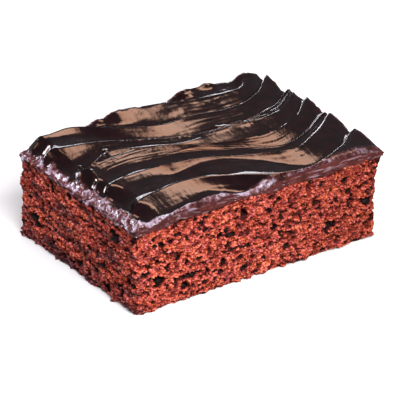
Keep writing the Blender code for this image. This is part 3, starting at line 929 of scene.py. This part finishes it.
# %% The rim and the rough edges
RIM_HEIGHT = 1.2 * MM
RIM_FALL = 0.8  # share by which the rim is lower at its far end
RIM_INSET = 2.2 * MM
RIM_WIDTH = 1.6 * MM
RIM_LUMPS = 0.4
SCALLOP = 1.8 * MM  # how far the polished part and the rim reach into each other
ROUGH_TO, POLISHED_FROM = 2.7, 4.2  # mm from the left cut at the near end of the rim
ROUGH_LESS, POLISHED_LESS = 1.0, 1.6  # how much less that is at the far end
FRONT_ROUGH = (1.5 * MM, 2.5 * MM)  # from the front cut the icing gets smooth over this stretch
# The front edge's roughness is real lumps; its paleness is the rim's colour ramp, with painted highlights and
# painted shade.
PALE_FRONT = 0.8  # how rough and pale the front edge is
PALE_FALL = 0.4  # share by which it is less so at the right
TORN = (0.4 * MM, 1.5 * MM)
PALE_FALLS = (-1.0 * MM, 5.0 * MM)  # the front edge gets less rough between these places along the slab
BEAD_HIGHLIGHT_END = (-2.0 * MM, 3.0 * MM)
LONGER = 0.6  # share by which the lumps are stretched past the left rim
LONGER_FROM = (3.0 * MM, 7.0 * MM)
BEAD_INSET = 1.1 * MM
# The pale streak along the front bead is a painted highlight, added to the lump mark.
BEAD_HIGHLIGHT = 0.3
BEAD_HIGHLIGHT_WIDTH = 0.6 * MM
LUMP_SIZES = ((1.9, 1.0), (0.8, 0.6), (0.5, 0.3))  # in mm, each with its share of the lumps' height


def rim_swell(x, y):
    """Thickness that the left rim adds. It is lumpy, and lower towards its far end."""
    far = 0.5 + y / WIDTH
    lump = 1.0 + RIM_LUMPS * waves(Vector((x, y, 0.0)), 4.0)
    across = math.exp(-(((x - EDGE_LEFT - RIM_INSET) / RIM_WIDTH) ** 2))
    return RIM_HEIGHT * (1.0 - RIM_FALL * far) * lump * across


def unworked(x, y):
    """How rough the icing was left, at the left rim and along the front edge, where no blade polished it."""
    room = x - EDGE_LEFT + SCALLOP * waves(Vector((0.0, y, 0.0)), 3.5)
    far = 0.5 + y / WIDTH
    rough_to, polished_from = ROUGH_TO - ROUGH_LESS * far, POLISHED_FROM - POLISHED_LESS * far
    left = 1.0 - smoothstep(room, rough_to * MM, polished_from * MM)
    front = 1.0 - smoothstep(y + EDGE_SIDE, *FRONT_ROUGH)
    front *= PALE_FRONT * (1.0 - PALE_FALL * smoothstep(x, *PALE_FALLS))
    return max(left, front)


def torn(x, y):
    """How rough the rear and the right edge are, where the knife pulled crumbs into the icing."""
    return 1.0 - smoothstep(min(EDGE_RIGHT - x, EDGE_SIDE - y), *TORN)


def bead_highlight(x, y):
    """A painted highlight along the bead on the front edge: how much paler the icing is there."""
    across = math.exp(-(((y + EDGE_SIDE - BEAD_INSET) / BEAD_HIGHLIGHT_WIDTH) ** 2))
    return BEAD_HIGHLIGHT * across * (1.0 - smoothstep(x, *BEAD_HIGHLIGHT_END))


def lumps_at(spot):
    """Height of the lumps in cut or rough icing, from about -1 to 1. Past the left rim they are longer."""
    room = spot.x - EDGE_LEFT
    longer = 1.0 - LONGER * smoothstep(room, *LONGER_FROM)
    place = Vector((room * longer, 0.7 * spot.y, spot.z))
    strength = 1.0 + 0.9 * waves(place, 3.8)
    return strength * sum(share * waves(place, size) for size, share in LUMP_SIZES)


print("the rim adds", round(rim_swell(EDGE_LEFT + RIM_INSET, -WIDTH / 2) / MM, 2), "mm at its near end")

# %% Streaks, ripples and the bead
RIM_GRAIN = 0.8 * MM
EDGE_LUMPS = 0.5  # share of the rim's lumps that the other cut edges have
RIM_LUMPY = (3.0 * MM, 5.0 * MM)  # over this stretch from the left cut they come down to that share
REAR_LUMPS = 0.55 * MM
REAR_REACH = 4.0 * MM
ROUGH_REAR = 0.06 * MM  # at the rear of the right half, between the next places along and across the slab
REAR_ALONG = (-2.0 * MM, 14.0 * MM)
REAR_ACROSS = (12.0 * MM, 18.0 * MM)
BEAD_HEIGHT = 0.8 * MM
BEAD_WIDTH = 0.75 * MM
BEAD_END = (0.0, 3.0 * MM)  # the bead runs out between these places along the slab
STROKE_ACROSS = 10.0  # a stroke is taken to be this wide for its streaks and ripples
STREAK = 0.03 * MM
STREAK_RIGHT = 1.5  # how much stronger streaks are at the right, as a factor less one
STREAK_PLACES = (5.0 * MM, 20.0 * MM)
RIPPLE = 0.022 * MM
SWAY = 0.07 * MM


def surface_marks(x, y, share, number):
    """Streaks that the blade left along a stroke, ripples across it, and the lumps where it didn't reach."""
    across = (number + share) * STROKE_ACROSS
    spot = Vector((x, y, 0.0))
    streak = STREAK * noise.noise(Vector((x / (9.0 * MM), across / 0.9, 0.0)))
    streak *= 1.0 + STREAK_RIGHT * smoothstep(x, *STREAK_PLACES)
    ripple = RIPPLE * noise.noise(Vector((x / (1.1 * MM), across / 3.0, 4.0)))
    sway = SWAY * noise.noise(Vector((x / (7.0 * MM), y / (5.0 * MM), 9.0)))
    lumps = RIM_GRAIN * lumps_at(spot)
    lumps *= EDGE_LUMPS + (1.0 - EDGE_LUMPS) * (1.0 - smoothstep(x - EDGE_LEFT, *RIM_LUMPY))
    rough_lumps = max(unworked(x, y), torn(x, y)) * lumps
    bead = BEAD_HEIGHT * math.exp(-(((y + EDGE_SIDE - BEAD_INSET) / BEAD_WIDTH) ** 2))
    bead *= 1.0 - smoothstep(x, *BEAD_END)
    rear_edge = REAR_LUMPS * waves(spot, 4.5) * smoothstep(y, EDGE_SIDE - REAR_REACH, EDGE_SIDE)
    rear_right = smoothstep(x, *REAR_ALONG) * smoothstep(y, *REAR_ACROSS)
    rough = ROUGH_REAR * waves(spot, 2.6)
    marks = dabs_at(x, y) + crinkles_at(x, y) + ledges_at(x, share, number)
    return marks + rear_edge + streak + ripple + sway + bead + rough_lumps + rear_right * rough


print("the bead stands", round(surface_marks(-20.0 * MM, BEAD_INSET - EDGE_SIDE, 0.5, 1) / MM, 2), "mm high")

# %% [markdown]
# The sheet is Blender's grid primitive, with one row for every step between two crests. Each point's column
# gives its place along the slab, and its row gives the stroke and the share. Rows are closer together right
# behind a crest, where the surface turns most.

# %% The icing's sheet
COLUMN_STEP = 0.31 * MM
ROW_CROWDING = 1.25
PAST_LEFT = EDGE_LEFT - 1.0 * MM
PAST_RIGHT = EDGE_RIGHT + 1.0 * MM

row_places = []
for number, stroke in enumerate(STROKES[1:]):
    for row in range(stroke.rows):
        row_places.append((number, (row / stroke.rows) ** ROW_CROWDING))
row_places.append((len(STROKES) - 2, 1.0))
columns = round((PAST_RIGHT - PAST_LEFT) / COLUMN_STEP)
deselect_all()
bpy.ops.mesh.primitive_grid_add(x_subdivisions=columns, y_subdivisions=len(row_places) - 1, size=2.0)
icing = bpy.context.object
icing.name = icing.data.name = "swirled_icing"
print("sheet:", columns, "columns,", len(row_places), "rows")

# %% Shaping the icing's sheet
LIFT = 0.3 * MM  # the icing lies this much above the cake's top
LIFT_RIGHT_END = 0.8 * MM  # and this much more at the right end, over the next two places along the slab
LIFT_PLACES = (31.0 * MM, 42.0 * MM)
CREST_ROUND = 0.9 * MM  # how far the knife pulled the crests down at the right end
ROUND_REACH = 1.8 * MM
ROUND_PLACES = (28.0 * MM, 40.0 * MM)
THINNEST_EDGE = 0.6 * MM


def crest_drop(x, front, back):
    """How much lower the icing is at the right end, this far from the crests in front of it and behind it."""
    pulled = smoothstep(x, *ROUND_PLACES)
    return CREST_ROUND * pulled * (math.exp(-front / ROUND_REACH) + math.exp(-back / ROUND_REACH))


def shape_icing_point(point):
    """The place on the slab of a point of the grid, which runs from -1 to 1 each way."""
    x = PAST_LEFT + (PAST_RIGHT - PAST_LEFT) * (point.x + 1.0) / 2
    number, share = row_places[round((point.y + 1.0) / 2 * (len(row_places) - 1))]
    front_y = crest_y(STROKES[number], x)
    width = crest_y(STROKES[number + 1], x) - front_y
    y = front_y + share * width
    swell = full_height(x, y, share, width)
    thick = SCOOP_LEFT + (between_crests(x, share, number) - SCOOP_LEFT) * swell
    thick += rim_swell(x, y)
    drop = crest_drop(x, share * width, (1.0 - share) * width)
    thick += surface_marks(x, y, share, number) - edge_drop(x, y) - drop
    lift = LIFT + LIFT_RIGHT_END * smoothstep(x, *LIFT_PLACES)
    return Vector((x, y, cake_top(x, y) + lift + max(THINNEST_EDGE, thick)))


for vertex in icing.data.vertices:
    vertex.co = shape_icing_point(vertex.co)
icing.data.update()
print("sheet shaped", f"{time.time() - started:.1f} s")

# %% [markdown]
# The knife's four cuts are four bisections that throw away what is outside. The open border is then
# extruded down in steps to the foot, each step scaled towards it, so that the cut face gets rows of points
# for its own marks, and the foot is filled. It sits at least half a millimetre deep in the crumb, so that
# no gap shows between the two.

# %% Cutting the icing to the slab
FOOT = CAKE_HEIGHT - 0.1 * MM
CUT_ROWS = 12
CUTS = (
    ((EDGE_LEFT, 0, 0), (-1, 0, 0)),
    ((EDGE_RIGHT, 0, 0), (1, 0, 0)),
    ((0, -EDGE_SIDE, 0), (0, -1, 0)),
    ((0, EDGE_SIDE, 0), (0, 1, 0)),
)

select_only(icing)
for spot, out in CUTS:
    with edit_mode():
        bpy.ops.mesh.select_all(action="SELECT")
        bpy.ops.mesh.bisect(plane_co=spot, plane_no=out, clear_outer=True)
with edit_mode():
    bpy.ops.mesh.select_all(action="SELECT")
    bpy.ops.mesh.remove_doubles(threshold=0.06 * MM)
top_points = len(icing.data.vertices)

with edit_mode():
    bpy.ops.mesh.select_mode(type="EDGE")
    bpy.ops.mesh.select_all(action="DESELECT")
    bpy.ops.mesh.select_non_manifold(
        use_wire=False, use_boundary=True, use_multi_face=False, use_non_contiguous=False, use_verts=False
    )
    for rows_left in range(CUT_ROWS, 0, -1):
        smaller = (1.0, 1.0, (rows_left - 1) / rows_left)
        bpy.ops.mesh.extrude_edges_move()
        bpy.ops.transform.resize(value=smaller, center_override=(0.0, 0.0, FOOT))
    bpy.ops.mesh.edge_face_add()
    bpy.ops.mesh.select_all(action="SELECT")
    bpy.ops.mesh.normals_make_consistent(inside=False)
print("icing:", top_points, "points on top,", triangles(icing.data), "triangles")

# %% Marks on the icing's cut face
CUT_WAVE = 0.35 * MM
CUT_GRAIN = 0.28 * MM
SIDE_LUMPS = 0.5 * MM  # on the cut at the left end
FOOT_REACH = 2.6 * MM  # height over which the foot's ups and downs fade out
CORNER_IN = 0.8 * MM
CORNER_REACH = 10.0 * MM


def mark_cut_face(spot):
    """Moves a point of the cut face out or in, and its foot up or down to where the crumb starts."""
    inside = (max(-LENGTH / 2, min(LENGTH / 2, spot.x)), max(-WIDTH / 2, min(WIDTH / 2, spot.y)))
    out = outline(*inside)[1]
    wave = CUT_WAVE * waves(Vector((spot.x, spot.y, spot.z * 2.0)), 3.2)
    fine = CUT_GRAIN * waves(Vector((spot.x, spot.y, spot.z * 1.4)), 0.9)
    fine += SIDE_LUMPS * lumps_at(spot) * max(0.0, -out.x)
    low = 1.0 - smoothstep(spot.z, FOOT, FOOT + FOOT_REACH)
    rise = joint_rise(spot.x, spot.y) * low
    return spot + out * (wave + fine) + Vector((0.0, 0.0, rise))


def corner_pull(spot):
    """How far the icing's far left corner is drawn in, towards the crumb's rounded corner."""
    near = smoothstep(spot.y, CORNER_REACH, EDGE_SIDE)
    near *= 1.0 - smoothstep(spot.x - EDGE_LEFT, 0.0, CORNER_REACH)
    return Vector((CORNER_IN * near, 0.0, 0.0))


print("cut face at mid-front:", [round(v / MM, 2) for v in mark_cut_face(Vector((0.0, -EDGE_SIDE, FOOT)))])

# %% [markdown]
# Three marks are kept for the material, as attributes of the points: how much a point belongs to the cut,
# how rough it was left, and how lumpy it is. The lump mark also places the painted highlights and painted
# shade of the rim's colour, and carries a painted highlight along the front bead. At the left end the cut
# face takes the rim's colours, with their painted highlights and shade, so it doesn't count as cut.

# %% Marks for the icing's material
# The upper part of the front cut face takes the front edge's colours, a painted highlight over the cut's
# brown.
FRONT_TOP_HIGHLIGHT = 0.65  # how far the upper part of the front cut face looks like the bead above it
FRONT_TOP_HIGHLIGHT_HEIGHTS = (1.2 * MM, 2.0 * MM)
# Near the left end the cut face is not marked as cut, so it takes the rim's colours with their painted
# highlights and shade.
LEFT_CUT_AS_RIM = (0.3 * MM, 1.5 * MM)


def cut_mark(point, on_cut):
    mark = smoothstep(point.x - EDGE_LEFT, *LEFT_CUT_AS_RIM)
    if point.y < -EDGE_SIDE + 0.01 * MM:
        over = point.z - FOOT + 0.5 * MM * waves(point, 2.5)
        mark *= 1.0 - FRONT_TOP_HIGHLIGHT * smoothstep(over, *FRONT_TOP_HIGHLIGHT_HEIGHTS) * (1.0 - smoothstep(point.x, 0.0, 4.0 * MM))
    return mark if on_cut else mark * torn(point.x, point.y)


# The lump mark drives the rim's painted highlights and painted shade; on the top it also carries the bead's
# painted highlight.
def lump_and_highlight_mark(point, on_cut):
    if on_cut:
        return 0.5 + 0.5 * lumps_at(point)
    return 0.5 + 0.5 * lumps_at(Vector((point.x, point.y, 0.0))) + bead_highlight(point.x, point.y)


cut_marks, rim_marks, lump_and_highlight_marks = [], [], []
for vertex in icing.data.vertices:
    point, on_cut = vertex.co.copy(), vertex.index >= top_points
    cut_marks.append(cut_mark(point, on_cut))
    rim_marks.append(unworked(point.x, point.y))
    lump_and_highlight_marks.append(lump_and_highlight_mark(point, on_cut))
    vertex.co = (mark_cut_face(point) if on_cut else point) + slab_centre + corner_pull(point)
for name, marks in (("cut", cut_marks), ("rim", rim_marks), ("lump", lump_and_highlight_marks)):
    add_attribute(icing.data, name, marks)
icing.data.update()
select_only(icing)
bpy.ops.object.shade_smooth_by_angle(angle=math.radians(60))
print("icing done", f"{time.time() - started:.1f} s")

# %% [markdown]
# ## The icing's material
#
# Chocolate icing is nearly black, glossy where the blade polished it and duller where it was cut. Its shine
# is tinted brown face on, and turns white where the light grazes a crest. On the lumps of the rim the colour
# is painted light: a painted highlight on their crowns and painted shade between them. The knife drew pale
# smears down the cut face. Both finishes come from one function, and differ only in their tint.

# %% Icing material
def make_icing_material(name, tint):
    """Icing whose shine has this tint. Its colours follow where it was cut and where it was left rough."""
    material, tree, shader = new_material(name)
    place = add_node(tree, "TexCoord").outputs["Object"]
    cut = add_attribute_node(tree, "cut")
    rim = add_attribute_node(tree, "rim")
    shade = add_noise(tree, place, 330.0, 4.0, 0.6)
    top_colour = add_ramp(tree, shade, ((0.35, (0.003, 0.002, 0.003)), (0.65, (0.009, 0.003, 0.005))))
    lump = add_sum(tree, "MULTIPLY", add_attribute_node(tree, "lump"), 0.6)
    lump = add_sum(tree, "MULTIPLY_ADD", add_noise(tree, place, 900.0, 3.0), 0.9, lump)
    # Painted light on the rim's lumps: near-black painted shade in the gaps, plum-brown between, and a lilac
    # painted highlight on the crowns.
    rim_crown_highlight_stops = ((0.50, (0.022, 0.006, 0.006)), (0.76, (0.12, 0.036, 0.036)), (1.0, (0.44, 0.36, 0.47)))
    rim_painted_light_colour = add_ramp(tree, lump, rim_crown_highlight_stops)
    cut_colour = add_ramp(tree, shade, ((0.35, (0.050, 0.011, 0.010)), (0.65, (0.115, 0.027, 0.023))))
    drawn = add_noise(tree, add_vector(tree, "MULTIPLY", place, (0.3, 0.3, 2.2)), 800.0, 3.0)
    smears = add_range(tree, drawn, 0.56, 0.68, high=0.5)
    cut_colour = add_mix(tree, "MIX", smears, cut_colour, (0.40, 0.27, 0.32, 1.0))
    worked = add_mix(tree, "MIX", rim, top_colour, rim_painted_light_colour)
    tree.links.new(add_mix(tree, "MIX", cut, worked, cut_colour), shader.inputs["Base Color"])
    uneven = add_noise(tree, place, 700.0, 3.0)
    gloss = add_sum(tree, "MULTIPLY_ADD", uneven, 0.12, 0.07)
    rough = add_sum(tree, "MULTIPLY_ADD", rim, 0.02, gloss)
    tree.links.new(add_sum(tree, "MULTIPLY_ADD", cut, 0.06, rough), shader.inputs["Roughness"])
    fine = add_noise(tree, add_vector(tree, "MULTIPLY", place, (1.0, 0.4, 1.0)), 1700.0, 3.0)
    lumpy = add_sum(tree, "MULTIPLY_ADD", rim, fine, add_sum(tree, "MULTIPLY", fine, 0.2))
    bump = add_node(tree, "Bump", {"Height": lumpy, "Strength": 1.0, "Distance": 0.12 * MM})
    tree.links.new(bump.outputs["Normal"], shader.inputs["Normal"])
    shader.inputs["Specular Tint"].default_value = (*tint, 1.0)
    icing.data.materials.append(material)
    print(name, "has", len(tree.nodes), "nodes")


make_icing_material("polished_icing", (1.0, 0.48, 0.29))
make_icing_material("cut_icing", (0.92, 0.86, 1.0))
for face in icing.data.polygons:
    marks = [max(cut_marks[i], rim_marks[i]) for i in face.vertices]
    face.material_index = 1 if sum(marks) > 0.5 * len(marks) else 0

# %% [markdown]
# ## Floor and light
#
# The photograph is a plain studio shot on white. A broad lamp from the front lights the cut sides. A
# softbox behind makes the broad shine on the ridges that face it, and a low, cool strip far behind draws
# the thin bright lines along the crests. The world is dim, so that the icing stays dark where it mirrors
# nothing.

# %% Floor
deselect_all()
bpy.ops.mesh.primitive_plane_add(size=6.0)
floor = bpy.context.object
floor.name = floor.data.name = "floor"
floor.visible_diffuse = floor.visible_glossy = False
floor_material, tree, shader = new_material("pale_floor")
shader.inputs["Base Color"].default_value = (0.86, 0.86, 0.87, 1.0)
shader.inputs["Roughness"].default_value = 0.9
shader.inputs["Specular IOR Level"].default_value = 0.1
floor.data.materials.append(floor_material)
print("floor:", [round(v, 2) for v in floor.dimensions])


# %% Lights
def add_softbox(name, azimuth, elevation, distance, size, power, colour):
    """A square lamp that faces the slab. Azimuth is from +X towards +Y."""
    across, up = math.radians(azimuth), math.radians(elevation)
    direction = Vector((math.cos(across) * math.cos(up), math.sin(across) * math.cos(up), math.sin(up)))
    data = bpy.data.lights.new(name, "AREA")
    data.shape = "RECTANGLE"
    data.size, data.size_y = size
    data.energy, data.color = power, colour
    lamp = bpy.data.objects.new(name, data)
    lamp.location = Vector((0.0, 0.0, 20.0 * MM)) + direction * distance
    lamp.rotation_euler = direction.to_track_quat("Z", "Y").to_euler()
    bpy.context.scene.collection.objects.link(lamp)
    return lamp


add_softbox("key", -100, 38, 0.9, (0.6, 0.5), 16.0, (1.0, 0.97, 0.95))
add_softbox("rear_softbox", 31, 57.5, 0.8, (0.30, 0.24), 1.95, (1.0, 0.89, 0.79))
add_softbox("rear_strip", 62, 12, 1.0, (0.40, 0.10), 1.6, (0.84, 0.90, 1.0))
add_softbox("rear_left", 112, 22, 0.8, (0.20, 0.12), 3.0, (0.84, 0.88, 1.0))
add_softbox("left_fill", -172, 26, 0.9, (0.30, 0.20), 1.25, (0.92, 0.94, 1.0))
world = bpy.data.worlds.new("dim studio")
world.use_nodes = True
background = world.node_tree.nodes["Background"]
background.inputs["Color"].default_value = (0.55, 0.56, 0.60, 1.0)
background.inputs["Strength"].default_value = 0.29
bpy.context.scene.world = world
bpy.context.scene.view_settings.view_transform = "Standard"
print("lights:", [o.name for o in bpy.data.objects if o.type == "LIGHT"])

# %% [markdown]
# ## Handing the pieces over
#
# Each piece rides on the slab's one body and stands in for its solid, which is hidden.

# %% Handing the pieces over
for piece, node, slot in ((cake, "cake", "crumb"), (icing, "icing", "icing")):
    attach(piece, "root")
    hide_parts(node)
